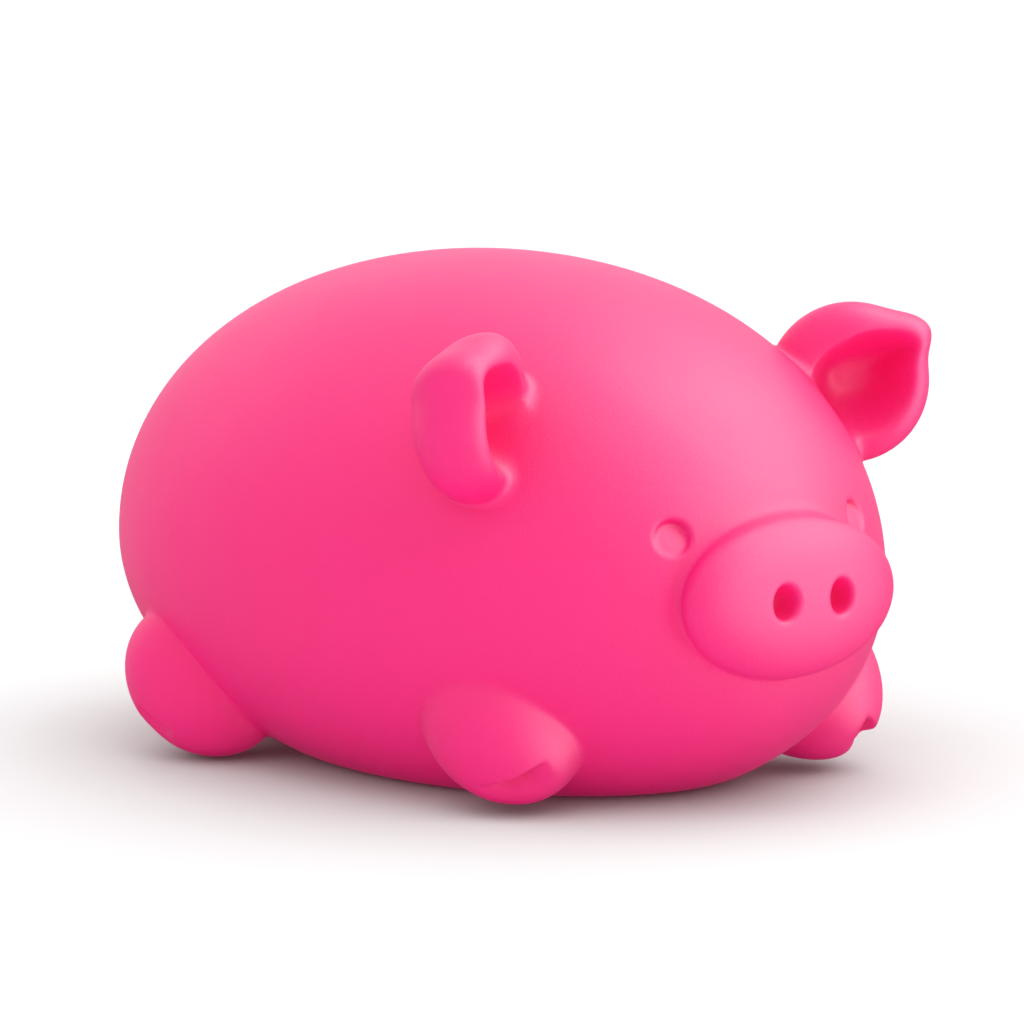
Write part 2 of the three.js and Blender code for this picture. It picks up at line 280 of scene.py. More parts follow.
class Clay:
    """A mesh in the making, whose points can be read and moved all at once."""

    def __init__(self) -> None:
        """Starts with no points."""
        self.mesh = bmesh.new()

    def ball(self, fineness: int) -> "Clay":
        """Adds a unit ball of triangles."""
        bmesh.ops.create_icosphere(self.mesh, subdivisions=fineness, radius=1)
        return self

    def points(self) -> Points:
        """Gives all points, one a row."""
        return np.array([vertex.co for vertex in self.mesh.verts])

    def move(self, points: Points) -> "Clay":
        """Puts all points where a list has them."""
        for vertex, point in zip(self.mesh.verts, points):
            vertex.co = point
        return self

    def refine(self, chosen: Callable[[Points], Values]) -> "Clay":
        """Splits each face in four where a test of its middle says so.

        Args:
            chosen: Gives true for the points whose faces are split.

        Returns:
            The same mesh, finer there.
        """
        faces = list(self.mesh.faces)
        middles = np.array([face.calc_center_median() for face in faces])
        edges = {edge for face, wanted in zip(faces, chosen(middles)) if wanted for edge in face.edges}
        bmesh.ops.subdivide_edges(self.mesh, edges=list(edges), cuts=1, use_grid_fill=True)
        bmesh.ops.triangulate(self.mesh, faces=self.mesh.faces[:])
        return self

    def turn_out(self) -> "Clay":
        """Makes all faces point outwards."""
        bmesh.ops.recalc_face_normals(self.mesh, faces=self.mesh.faces[:])
        return self if self.mesh.calc_volume(signed=True) > 0 else self.turn_in()

    def turn_in(self) -> "Clay":
        """Makes all faces point the other way."""
        bmesh.ops.reverse_faces(self.mesh, faces=self.mesh.faces[:])
        return self

    def keep_above(self, level: float) -> "Clay":
        """Flattens what reaches below a level."""
        points = self.points()
        points[:, 2] = np.maximum(points[:, 2], level)
        return self.move(points)

    def piece(self, name: str) -> bpy.types.Object:
        """Makes a smooth object of the mesh, in the scene."""
        mesh = bpy.data.meshes.new(name)
        self.mesh.to_mesh(mesh)
        self.mesh.free()
        mesh.shade_smooth()
        piece = bpy.data.objects.new(name, mesh)
        bpy.context.scene.collection.objects.link(piece)
        return piece


@dataclass(frozen=True)
class Root:
    """Where a feature grows out of the skin, and how softly the skin runs up to it."""

    piece: bpy.types.Object
    shape: BVHTree
    low: Points
    high: Points
    softness: Callable[[Points], Values]
    room: float = 3.8 * MM
    march_steps: int = 10

    @classmethod
    def of(cls, piece: bpy.types.Object, softness: Callable[[Points], Values]) -> "Root":
        """Takes the root of a finished piece.

        Args:
            piece: The feature.
            softness: Gives the reach of the fillet at points of the body.

        Returns:
            The root.
        """
        corners = points_of(piece.data)
        shape = BVHTree.FromObject(piece, bpy.context.evaluated_depsgraph_get())
        return cls(piece, shape, corners.min(0) - cls.room, corners.max(0) + cls.room, softness)

    def nearest(self, points: Points) -> tuple[Values, Points]:
        """Looks for the feature from points close to it.

        Args:
            points: Points, one a row.

        Returns:
            How far the points lie outside the feature, and its way out there.
        """
        gaps, ways = np.full(len(points), FAR), np.zeros((len(points), 3))
        for index in np.flatnonzero(((points > self.low) & (points < self.high)).all(-1)):
            point = Vector(points[index])
            place, way, _, gap = self.shape.find_nearest(point, self.room)
            if place:
                gaps[index] = gap if (point - place).dot(way) > 0 else -gap
                ways[index] = way
        return gaps, ways

    def gaps(self, points: Points) -> Values:
        """Gives how far points lie outside the feature, where they are close to it."""
        return self.nearest(points)[0]

    def beside(self, points: Points, share: float) -> Values:
        """Tells which points of the body lie in a share of the fillet round the feature."""
        return np.abs(self.gaps(points)) < share * self.softness(points)

    def swell(self, points: Points, outward: Points) -> Points:
        """Lifts the skin round the feature in a fillet, no higher than beside an upright wall.

        Args:
            points: Points of the skin, one a row.
            outward: The ways out of the skin there.

        Returns:
            The lifted points.
        """
        soft, gaps = self.softness(points), self.gaps(points)
        near = gaps < soft
        base, way, soft = points[near], outward[near], soft[near]
        fillet = close_in(
            np.zeros(len(base)),
            soft,
            self.march_steps,
            lambda half: smooth_min(half, self.gaps(base + way * half[:, None]), soft) < 0,
        )
        upright = soft * (1 - np.sqrt(np.clip(gaps[near] / soft, 0, 1))) ** 2
        lifted = points.copy()
        lifted[near] += way * np.minimum(fillet, upright)[:, None]
        return lifted

    def lean(self, heights: Values, gaps: Values, soft: Values) -> Values:
        """Gives how far the way out turns from the skin's to the feature's.

        Args:
            heights: Distances from the plain skin.
            gaps: Distances from the feature.
            soft: Reaches of the fillet.

        Returns:
            Shares from 0 to 1.
        """
        overlap = np.maximum(soft - np.abs(heights - gaps), 0) / soft
        return np.where(heights < gaps, overlap / 2, 1 - overlap / 2)

    def settle(self, egg: BodyEgg) -> None:
        """Shades the feature's root as one with the skin round it."""
        mesh = self.piece.data
        points = points_of(mesh)
        own = np.array([normal.vector for normal in mesh.vertex_normals])
        soft, heights = self.softness(points), egg.distance(points)
        share = self.lean(heights, np.zeros(len(points)), soft)[:, None]
        turned = unit(own * share + egg.outward(points) * (1 - share))
        turned[np.abs(heights) > soft] = 0
        mesh.normals_split_custom_set_from_vertices(turned)


def carve(piece: bpy.types.Object, cutter: Clay) -> None:
    """Cuts a shape out of a piece.

    Args:
        piece: The piece.
        cutter: The shape, which is used up.
    """
    tool = cutter.piece("cutter")
    cut = piece.modifiers.new("cut", "BOOLEAN")
    cut.operation, cut.solver, cut.object = "DIFFERENCE", "MANIFOLD", tool
    shown = piece.evaluated_get(bpy.context.evaluated_depsgraph_get())
    old, made = piece.data, bpy.data.meshes.new_from_object(shown)
    piece.modifiers.clear()
    piece.data = made
    bpy.data.meshes.remove(old)
    bpy.data.objects.remove(tool)


def stand_for(piece: bpy.types.Object, finish: bpy.types.Material, slot: str, *nodes: str) -> None:
    """Gives a piece its finish and puts it in the place of CAD nodes.

    Args:
        piece: The piece.
        finish: Its material.
        slot: Not used.
        nodes: The nodes that it stands for.
    """
    piece.data.materials.clear()
    piece.data.materials.append(finish)
    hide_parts(*nodes)
    log.info("%s: %d faces", piece.name, len(piece.data.polygons))


class Feature:
    """A feature moulded on the skin, with a stretch under and over its seat that is worked out but not used
    to bend it.
    """

    def softness(self, points: Points) -> Values:
        """Gives how softly the skin runs up to the feature."""
        return np.full(len(points), self.fillet)

    def dress(self, piece: bpy.types.Object, side: Side, finish: bpy.types.Material) -> None:
        """Gives the feature its rubber and puts it in the place of its CAD node.

        Args:
            piece: The feature.
            side: The side that it is on.
            finish: The rubber.
        """
        node, seat, flip = self.node(side), self.seat, np.array([side.value, 1, 1])
        under, over = self.bend
        start, end = (seat.point - seat.out * under) * flip, (seat.point + seat.out * over) * flip
        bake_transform(piece)
        stand_for(piece, finish, "skin", node)


@dataclass(frozen=True)
class Snout:
    """A thick round-edged oval on the front of the head, with two nostrils."""

    egg: BodyEgg
    width: float = 28.2 * MM
    height: float = 17.3 * MM
    thickness: float = 8.8 * MM
    sink: float = 0.7 * MM
    rise: float = 0.5 * MM
    squareness: float = 2.1
    softness_range: tuple[float, float] = (0.6 * MM, 2 * MM)
    softness_shift: float = 0.6
    nostril_spacing: float = 7.7 * MM
    nostril_rise: float = 0.2 * MM
    nostril_width: float = 3.1 * MM
    nostril_height: float = 3.7 * MM
    nostril_depth: float = 3.6 * MM
    nostril_lip: float = 0.8 * MM
    fine_margin: float = 1.2 * MM
    press_margin: float = 1.6 * MM
    pit_rounds: int = 2
    fineness: int = 6
    march_steps: int = 30

    @property
    def centre(self) -> Points:
        """Gives the middle of the oval."""
        front = self.egg.middle - self.egg.length / 2
        return np.array([0, front + self.sink, self.egg.girth_height + self.rise])

    @property
    def half(self) -> Points:
        """Gives the oval's half sizes."""
        return np.array([self.width, self.thickness, self.height]) / 2

    def softness(self, points: Points) -> Values:
        """Gives how softly the skin runs up to the snout: least below it and most above it."""
        below, above = self.softness_range
        height = (points[:, 2] - self.centre[2]) / self.height
        return below + (above - below) * smooth_step(self.softness_shift + height)

    def surface(self, directions: Points) -> Points:
        """Gives points of the oval without nostrils, round its middle."""
        power = self.squareness
        across = np.hypot(directions[:, 0], directions[:, 2])
        level = (across**power + np.abs(directions[:, 1]) ** power) ** (1 / power)
        return directions / level[:, None] * self.half

    def distance(self, offset: Points) -> Values:
        """Gives distances to the oval without nostrils, for points round its middle."""
        shares, power = np.maximum(np.abs(offset) / self.half, TINY), self.squareness
        across = np.hypot(shares[:, 0], shares[:, 2])
        level = (across**power + shares[:, 1] ** power) ** (1 / power)
        across_slope = np.hypot(shares[:, 0] / self.half[0], shares[:, 2] / self.half[2]) / across
        slope = np.hypot(across ** (power - 1) * across_slope, shares[:, 1] ** (power - 1) / self.half[1])
        return (level - 1) / (slope * level ** (1 - power))

    def nostrils(self, offset: Points) -> Values:
        """Gives distances to the two nostril pits, for points round the snout's middle."""
        pit = np.array([self.nostril_width / 2, self.nostril_depth, self.nostril_height / 2])
        shift = np.array([self.nostril_spacing / 2, -self.thickness / 2, self.nostril_rise])
        inside = offset.copy()
        inside[:, 0] = np.abs(inside[:, 0])
        shares = (inside - shift) / pit
        level = np.maximum(np.linalg.norm(shares, axis=-1), TINY)
        return (level - 1) * level / np.linalg.norm(shares / pit, axis=-1)

    def pitted(self, offset: Points) -> Values:
        """Gives distances to the oval with its nostrils, for points round its middle."""
        return smooth_max(self.distance(offset), -self.nostrils(offset), self.nostril_lip)

    def near_pits(self, points: Points) -> Values:
        """Tells which directions lead to a nostril."""
        surface = self.surface(unit(points))
        return (surface[:, 1] < 0) & (self.nostrils(surface) < self.fine_margin)

    def build(self) -> bpy.types.Object:
        """Builds the snout, with the nostrils pressed straight in.

        Returns:
            The snout.
        """
        clay = Clay().ball(self.fineness)
        for _ in range(self.pit_rounds):
            clay.refine(self.near_pits)
        points = self.surface(unit(clay.points()))
        front = (points[:, 1] < 0) & (self.nostrils(points) < self.press_margin)
        face, inward = points[front], np.array([0, 1, 0])
        pressed = close_in(
            np.full(len(face), -self.nostril_lip),
            np.full(len(face), self.nostril_depth + self.nostril_lip),
            self.march_steps,
            lambda half: self.pitted(face + half[:, None] * inward) > 0,
        )
        points[front] = face + pressed[:, None] * inward
        return clay.move(points + self.centre).turn_out().piece("snout_rubber")

    def dress(self, piece: bpy.types.Object, finish: bpy.types.Material) -> None:
        """Gives the snout its rubber and fixes it on the head."""
        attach(piece, "body")
        stand_for(piece, finish, "skin", "snout")


@dataclass(frozen=True)
class Plug:
    """The soft stopper in the belly's fill port, with a flat head and a barb."""

    egg: BodyEgg
    wall: float = 2.6 * MM
    behind_middle: float = 12 * MM
    port_width: float = 6.6 * MM
    head_width: float = 12 * MM
    head_thickness: float = 1 * MM
    recess: float = 0.3 * MM
    clearance: float = 0.3 * MM
    barb_overhang: float = 1 * MM
    barb_thickness: float = 2 * MM
    dimple_width: float = 3 * MM
    dimple_depth: float = 0.35 * MM
    edge: float = 0.25 * MM
    edge_segments: int = 3
    sharp_angle: float = 25
    around: int = 96

    @property
    def place(self) -> Vector:
        """Gives the middle of the port on the floor."""
        return Vector((0, self.egg.middle + self.behind_middle, 0))

    @property
    def top(self) -> float:
        """Gives the height of the barb's end."""
        return self.wall + self.clearance + self.barb_thickness

    def lathe(self, section: list[tuple[float, float]]) -> Clay:
        """Spins a closed half section about the port's axis.

        Args:
            section: Radii and heights, from the axis round to the axis.

        Returns:
            The turned shape.
        """
        clay = Clay()
        spots = [self.place + Vector((radius, 0, height)) for radius, height in section]
        corners = [clay.mesh.verts.new(spot) for spot in spots]
        edges = [clay.mesh.edges.new(pair) for pair in zip(corners, corners[1:])]
        bmesh.ops.spin(
            clay.mesh,
            geom=corners + edges,
            cent=self.place,
            axis=(0, 0, 1),
            angle=2 * math.pi,
            steps=self.around,
            use_merge=True,
        )
        bmesh.ops.remove_doubles(clay.mesh, verts=clay.mesh.verts[:], dist=MERGE_DISTANCE)
        return clay.turn_out()

    def port(self) -> Clay:
        """Makes the shape of the port and of the recess round the head."""
        bore = self.port_width / 2
        rim = self.head_width / 2 + self.clearance
        seat = self.recess + self.head_thickness + self.clearance
        deep = 2 * self.wall
        return self.lathe([(0, -deep), (rim, -deep), (rim, seat), (bore, seat), (bore, deep), (0, deep)])

    def pocket(self) -> Clay:
        """Makes the shape that the barb keeps free of filling."""
        room = self.port_width / 2 + self.barb_overhang + self.clearance
        roof = self.top + self.clearance
        return self.lathe([(0, 0), (room, 0), (room, roof), (0, roof)])

    def build(self) -> bpy.types.Object:
        """Builds the stopper.

        Returns:
            The stopper.
        """
        head, stem = self.head_width / 2, self.port_width / 2 - self.clearance
        barb = self.port_width / 2 + self.barb_overhang
        neck = self.wall + self.clearance
        shelf = self.recess + self.head_thickness
        dimple = self.dimple_width / 2
        clay = self.lathe(
            [
                (0, self.recess + self.dimple_depth),
                (dimple, self.recess + self.dimple_depth),
                (dimple + self.dimple_depth, self.recess),
                (head, self.recess),
                (head, shelf),
                (stem, shelf),
                (stem, neck),
                (barb, neck),
                (stem, self.top),
                (0, self.top),
            ]
        )
        least = math.radians(self.sharp_angle)
        bmesh.ops.bevel(
            clay.mesh,
            geom=[edge for edge in clay.mesh.edges if edge.calc_face_angle(0) > least],
            offset=self.edge,
            affect="EDGES",
            segments=self.edge_segments,
            profile=0.5,
            material=-1,
        )
        return clay.piece("plug")

    def dress(self, piece: bpy.types.Object, finish: bpy.types.Material) -> None:
        """Gives the stopper its rubber and fixes it in the body."""
        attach(piece, "body")
        stand_for(piece, finish, "plug", "fill_plug")


@dataclass(frozen=True)
class Filling:
    """The dough that fills the skin, slightly lumpy."""

    egg: BodyEgg
    plug: Plug
    inset: float = 2.9 * MM
    lump_height: float = 0.25 * MM
    lump_size: float = 7 * MM
    lump_twist: float = 300
    fineness: int = 6

    def build(self) -> bpy.types.Object:
        """Builds the filling.

        Returns:
            The filling, with room for the stopper.
        """
        clay = Clay().ball(self.fineness)
        directions = unit(clay.points())
        points = self.egg.point(directions, self.inset)
        twist = np.roll(points, 1, axis=-1) * self.lump_twist
        waves = np.sin(points * (2 * math.pi / self.lump_size) + twist)
        points -= directions * (self.lump_height * (waves.mean(-1) + 1))[:, None]
        dough = clay.move(points).keep_above(self.inset).turn_out().piece("dough")
        carve(dough, self.plug.pocket())
        return dough

    def dress(self, piece: bpy.types.Object, finish: bpy.types.Material) -> None:
        """Gives the filling its dough and fixes it in the body."""
        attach(piece, "body")
        stand_for(piece, finish, "filling", "filling")


@dataclass(frozen=True)
class Skin:
    """The hollow rubber skin of body and head, with its eye dimples and fill port."""

    egg: BodyEgg
    snout: Snout
    eyes: Eyes
    plug: Plug
    fineness: int = 6
    lining_fineness: int = 5
    eye_rounds: int = 3
    root_bands: tuple[float, ...] = (1.3, 1.2, 0.6)
    march_steps: int = 30
    march_range: tuple[float, float] = (0.6, 1.1)
    nostril_room: float = 0.8 * MM
    eye_margin: float = 1.8 * MM
    shade_margin: float = 1.5 * MM
    shade_depth: float = 0.1 * MM
    sharp_angle: float = 40
    fill: float = 0.95

    def distance(self, points: Points) -> Values:
        """Gives distances to the outside of the skin, without the features on it."""
        room = self.snout.nostrils(points - self.snout.centre) - self.nostril_room
        shape = smooth_max(self.egg.resting(points), -room, self.nostril_room)
        return smooth_max(shape, -self.eyes.distance(points), self.eyes.edge)

    def march(self, directions: Points) -> Points:
        """Finds the skin along rays from the egg's middle.

        Args:
            directions: Unit vectors in the egg's own shares, one a row.

        Returns:
            The points where the rays leave the skin.
        """
        rays = self.egg.point(directions) - self.egg.centre
        reach = close_in(
            *(np.full(len(rays), share) for share in self.march_range),
            self.march_steps,
            lambda half: self.distance(self.egg.centre + rays * half[:, None]) < 0,
        )
        return self.egg.centre + rays * reach[:, None]

    def near_eyes(self, points: Points) -> Values:
        """Tells which directions lead to an eye."""
        return self.eyes.distance(self.egg.point(unit(points))) < self.eye_margin

    def near_roots(self, points: Points, roots: Sequence[Root], share: float) -> Values:
        """Tells which directions lead to a share of the fillet round any feature."""
        places = self.egg.point(unit(points))
        return np.any([root.beside(places, share) for root in roots], axis=0)

    def shell(self, roots: Sequence[Root]) -> Clay:
        """Makes the outside, run up to the features on it.

        Args:
            roots: The features' roots.

        Returns:
            The outside of the skin.
        """
        outside = Clay().ball(self.fineness)
        for _ in range(self.eye_rounds):
            outside.refine(self.near_eyes)
        for share in self.root_bands:
            outside.refine(lambda points, share=share: self.near_roots(points, roots, share))
        points = self.march(unit(outside.points()))
        outward = self.egg.outward(points)
        for root in roots:
            points = root.swell(points, outward)
        return outside.move(points).keep_above(0).turn_out()

    def build(self, roots: Sequence[Root]) -> bpy.types.Object:
        """Builds the skin's outside and its lining.

        Args:
            roots: The roots of the features on it.

        Returns:
            The skin.
        """
        outside = self.shell(roots)
        lining = Clay().ball(self.lining_fineness)
        lining.move(self.egg.point(unit(lining.points()), self.plug.wall)).keep_above(self.plug.wall)
        shell = bpy.data.meshes.new("lining")
        lining.turn_out().turn_in().mesh.to_mesh(shell)
        lining.mesh.free()
        outside.mesh.from_mesh(shell)
        bpy.data.meshes.remove(shell)
        skin = outside.piece("skin")
        carve(skin, self.plug.port())
        skin.data.set_sharp_from_angle(angle=math.radians(self.sharp_angle))
        self.settle(skin, roots)
        return skin

    def settle(self, skin: bpy.types.Object, roots: Sequence[Root]) -> None:
        """Shades the skin as one with the features on it.

        Args:
            skin: The skin.
            roots: The features' roots.
        """
        points = points_of(skin.data)
        heights, outward = self.egg.distance(points), self.egg.outward(points)
        plain = (heights > -self.shade_depth) & (self.eyes.distance(points) > self.shade_margin)
        turned = np.zeros_like(points)
        for root in roots:
            gaps, ways = root.nearest(points)
            soft = root.softness(points)
            share = root.lean(heights, gaps, soft)[:, None]
            near = plain & (gaps < soft)
            turned[near] = unit(outward * (1 - share) + ways * share)[near]
            root.settle(self.egg)
        skin.data.normals_split_custom_set_from_vertices(turned)

    def dress(self, piece: bpy.types.Object, finish: bpy.types.Material) -> None:
        """Gives the skin its rubber and fixes it in the body."""
        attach(piece, "body")
        stand_for(piece, finish, "skin", "body_skin")


@dataclass(frozen=True)
class Ear(Feature):
    """A thick cupped leaf that opens forwards, with a rolled lip and a soft point."""

    egg: BodyEgg
    bearing: float = 42
    elevation: float = 31.3
    sink: float = 1.1 * MM
    turn_in: float = 25.5
    lean: float = 34.7
    reach: float = 4.9 * MM
    width: float = 17.9 * MM
    tip: float = 1.85 * MM
    tip_spread: tuple[float, float] = (12.7, 19.3)
    depth: float = 10.5 * MM
    back_drop: float = 0.08
    wall: float = 3.8 * MM
    lip_depth: float = 3.4 * MM
    lip: tuple[float, float, float] = (0.2, 0.26, 0.44)
    lip_spread: float = 80
    lip_rows: float = 0.25
    root_fade: float = 1.3 * MM
    fade_between: tuple[float, float] = (40, 290)
    fade_run: float = 90
    fade_fullness: float = 1.6
    cup_side: float = -40
    cup_fullness: tuple[float, float] = (2.2, 4.2)
    softness_range: tuple[float, float] = (0.5 * MM, 1.6 * MM)
    softness_run: float = 6 * MM
    bend: tuple[float, float] = (1.5 * MM, 9 * MM)
    around: int = 160
    rows: int = 112

    @property
    def seat(self) -> Seat:
        """Gives the left ear's seat on the head."""
        return self.egg.seat(self.bearing, self.elevation)

    def node(self, side: Side) -> str:
        """Names an ear's node."""
        return f"{side.name.lower()}_ear"

    def axes(self) -> tuple[Points, Points, Points]:
        """Gives the left ear's ways out of the head, up along its root and out of its cup."""
        turn, lean = math.radians(self.turn_in), math.radians(self.lean)
        sideways = np.array([math.cos(turn), -math.sin(turn), 0])
        opening = np.array([-math.sin(turn), -math.cos(turn), 0])
        above = np.array([0, 0, 1])
        outward = sideways * math.cos(lean) + above * math.sin(lean)
        upward = above * math.cos(lean) - sideways * math.sin(lean)
        return outward, upward, opening

    def softness(self, points: Points) -> Values:
        """Gives how softly the skin runs up to an ear: least behind it and most in its cup."""
        mirrored = points * np.where([True, False, False], np.sign(points), 1)
        ahead = (mirrored - self.seat.point) @ self.axes()[2]
        behind, within = self.softness_range
        return behind + (within - behind) * smooth_step(1 + ahead / self.softness_run)

    def section(self, latitude: Values, angle: Values) -> tuple[Values, Values]:
        """Gives the bowl's section from the back's middle over the lip to the cup's middle.

        Args:
            latitude: How far along the section, from -1 at the back over 0 at the rim to 1 in the cup.
            angle: The way round from the tip.

        Returns:
            Shares of the rim's radius, and heights over the mouth.
        """
        back = np.clip(-latitude, 0, 1) * math.pi / 2
        roll = np.clip(latitude / self.lip_rows, 0, 1) * math.pi / 2
        share = np.clip((1 - latitude) / (1 - self.lip_rows), 0, 1)
        slack, full = self.cup_fullness
        towards = 0.5 + 0.5 * np.cos(angle + math.radians(self.cup_side))
        fall = (1 - share ** (slack + (full - slack) * towards)) ** 2
        thin, below, above = self.lip
        thick = below + (above - below) * (0.5 + 0.5 * np.sin(angle))
        lip = thin + (thick - thin) * smooth_step(np.abs(angle) / math.radians(self.lip_spread))
        rim = 1 - lip
        radius = np.where(latitude < 0, np.cos(back), rim + lip * np.cos(roll))
        height = np.where(latitude < 0, -self.lip_depth - (self.depth - self.lip_depth) * np.sin(back), 0)
        height = np.where(latitude >= 0, self.lip_depth * (np.sin(roll) - 1), height)
        inside = latitude > self.lip_rows
        radius = np.where(inside, rim * share, radius)
        return radius, np.where(inside, -(self.depth - self.wall) * fall, height)

    def build(self, side: Side) -> bpy.types.Object:
        """Builds one ear.

        Args:
            side: The side that it stands on.

        Returns:
            The ear.
        """
        clay = Clay()
        bmesh.ops.create_uvsphere(clay.mesh, u_segments=self.around, v_segments=self.rows, radius=1)
        ball = unit(clay.points())
        angle = np.arctan2(ball[:, 1], ball[:, 0])
        radius, height = self.section(np.arcsin(np.clip(ball[:, 2], -1, 1)) * 2 / math.pi, angle)
        spread = np.radians(np.where(angle < 0, *self.tip_spread))
        rim = (self.width / 2 + self.tip * np.exp(-((angle / spread) ** 2))) * radius
        degrees = np.degrees(angle) % 360
        start, end = self.fade_between
        fade = smooth_step((degrees - start) / self.fade_run) * smooth_step((end - degrees) / self.fade_run)
        height = height - self.root_fade * fade * smooth_step(self.fade_fullness * radius)
        outward, upward, opening = self.axes()
        placed = self.seat.point - self.seat.out * self.sink
        placed = placed + outward * (self.reach + rim * np.cos(angle))[:, None]
        placed = placed + upward * (rim * np.sin(angle) + self.back_drop * height)[:, None]
        placed = placed + opening * height[:, None]
        placed[:, 0] *= side.value
        return clay.move(placed).turn_out().piece(f"{self.node(side)}_rubber")


@dataclass(frozen=True)
class Leg(Feature):
    """A stub leg, half sunk in the body, with a cleft in its toe."""

    egg: BodyEgg
    name: str
    bearing: float
    elevation: float
    sink: float
    pointing: float
    pitch: float
    roll: float
    length: float
    width: float
    height: float
    toe_taper: float
    cleft_pointing: float
    cleft_pitch: float
    cleft_roll: float
    cleft_length: float = 9 * MM
    cleft_depth: float = 2.2 * MM
    cleft_sharp: float = 0.4 * MM
    cleft_soft: float = 2.4 * MM
    floor_gap: float = 0.3 * MM
    fullness: float = 2.1
    cleft_fade: float = 1.2
    toe_spread: float = 0.75
    fillet: float = 0.55 * MM
    bend: tuple[float, float] = (0.5 * MM, 4 * MM)
    fineness: int = 6

    @property
    def seat(self) -> Seat:
        """Gives the left leg's seat on the body."""
        return self.egg.seat(self.bearing, self.elevation)

    def node(self, side: Side) -> str:
        """Names a leg's node."""
        return f"{self.name}_{side.name.lower()}_leg"

    @staticmethod
    def lie(pointing: float, pitch: float, roll: float) -> Points:
        """Gives the axes across, along and down of something that points one way.

        Args:
            pointing: Degrees round from the nose towards the pig's left.
            pitch: Degrees above the level.
            roll: Degrees by which the outer side is lifted.

        Returns:
            Three unit vectors, one a row.
        """
        ahead = Vector(direction_at(pointing, pitch))
        level = Vector((0, 0, 1)).cross(ahead).normalized()
        wide = Matrix.Rotation(math.radians(roll), 3, ahead) @ level
        return np.array([wide, ahead, wide.cross(ahead)])

    def cleave(self, points: Points) -> Points:
        """Presses the cleft into the toe: steep on its upper side, soft on its lower side.

        Args:
            points: Points round the leg's middle.

        Returns:
            The points with the cleft.
        """
        across, ahead, down = self.lie(self.cleft_pointing, self.cleft_pitch, self.cleft_roll)
        along, over, front = points @ across, points @ down, points @ ahead
        width = np.where(over < 0, self.cleft_sharp, self.cleft_soft)
        ends = smooth_step(self.cleft_fade * (1 - 2 * np.abs(along) / self.cleft_length))
        press = np.exp(-((over / width) ** 2)) * ends * (front > 0)
        return points - unit(points) * (self.cleft_depth * press)[:, None]

    def build(self, side: Side) -> bpy.types.Object:
        """Builds one leg.

        Args:
            side: The side that it is on.

        Returns:
            The leg.
        """
        clay = Clay().ball(self.fineness)
        axes = self.lie(self.pointing, self.pitch, self.roll)
        toe = direction_at(self.cleft_pointing, self.cleft_pitch) @ axes.T
        clay.refine(lambda middles: unit(middles) @ unit(toe) > self.toe_spread)
        ball = unit(clay.points())
        ball /= (np.abs(ball) ** self.fullness).sum(-1, keepdims=True) ** (1 / self.fullness)
        girth = 1 - self.toe_taper * ball[:, 1, None]
        halves = np.array([self.width, self.length, self.height]) / 2
        stub = ball * halves * np.where([True, False, True], girth, 1) @ axes
        placed = self.cleave(stub) + self.seat.point - self.seat.out * self.sink
        placed[:, 0] *= side.value
        clay.move(placed).keep_above(self.floor_gap).turn_out()
        return clay.piece(f"{self.node(side)}_rubber")


@dataclass(frozen=True)
class Tail(Feature):
    """A tapered curl on the rump."""

    egg: BodyEgg
    elevation: float = 22.5
    root_width: float = 5 * MM
    tip_width: float = 3 * MM
    curl: float = 3.4 * MM
    turns: float = 1.2
    reach: float = 8 * MM
    sink: float = 2.5 * MM
    fillet: float = 1 * MM
    bend: tuple[float, float] = (0.5 * MM, 4 * MM)
    tilt: float = 1e-4
    around: int = 32
    steps: int = 160

    @property
    def seat(self) -> Seat:
        """Gives the tail's seat on the rump."""
        return self.egg.seat(180, self.elevation)

    def node(self, _: Side) -> str:
        """Names the tail's node."""
        return "tail"

    def curve(self, along: Values) -> Points:
        """Gives points of the curl's middle line at shares of its length."""
        sideways = np.array([1, 0, 0])
        upward = np.cross(sideways, self.seat.out)
        angle = 2 * math.pi * self.turns * along
        radius = self.curl * np.sin(math.pi / 2 * np.minimum(1, 2 * along))
        stand = (self.reach + self.sink) * along - self.sink
        return (
            self.seat.point
            + self.seat.out * stand[:, None]
            + sideways * (radius * np.cos(angle))[:, None]
            + upward * (radius * np.sin(angle))[:, None]
        )

    def build(self) -> bpy.types.Object:
        """Builds the tail.

        Returns:
            The tail.
        """
        clay = Clay()
        bmesh.ops.create_uvsphere(clay.mesh, u_segments=self.around, v_segments=self.steps, radius=1)
        ball = unit(clay.points())
        along = np.arccos(np.clip(ball[:, 2], -1, 1)) / math.pi
        nudge = 0.5 / self.steps
        middle = self.curve(along)
        ahead = unit(self.curve(along + nudge) - self.curve(along - nudge))
        across = unit(np.cross(ahead, self.seat.out + np.array([self.tilt, 0, 0])))
        over = np.cross(across, ahead)
        width = self.root_width + (self.tip_width - self.root_width) * along
        cap = 0.5 * self.tip_width / (self.reach + self.sink + 2 * math.pi * self.turns * self.curl)
        round_end = np.sqrt(1 - np.clip(1 - np.minimum(along, 1 - along) / cap, 0, 1) ** 2)
        turn = np.arctan2(ball[:, 1], ball[:, 0])
        ring = across * np.cos(turn)[:, None] + over * np.sin(turn)[:, None]
        return clay.move(middle + ring * (width / 2 * round_end)[:, None]).turn_out().piece("tail_rubber")


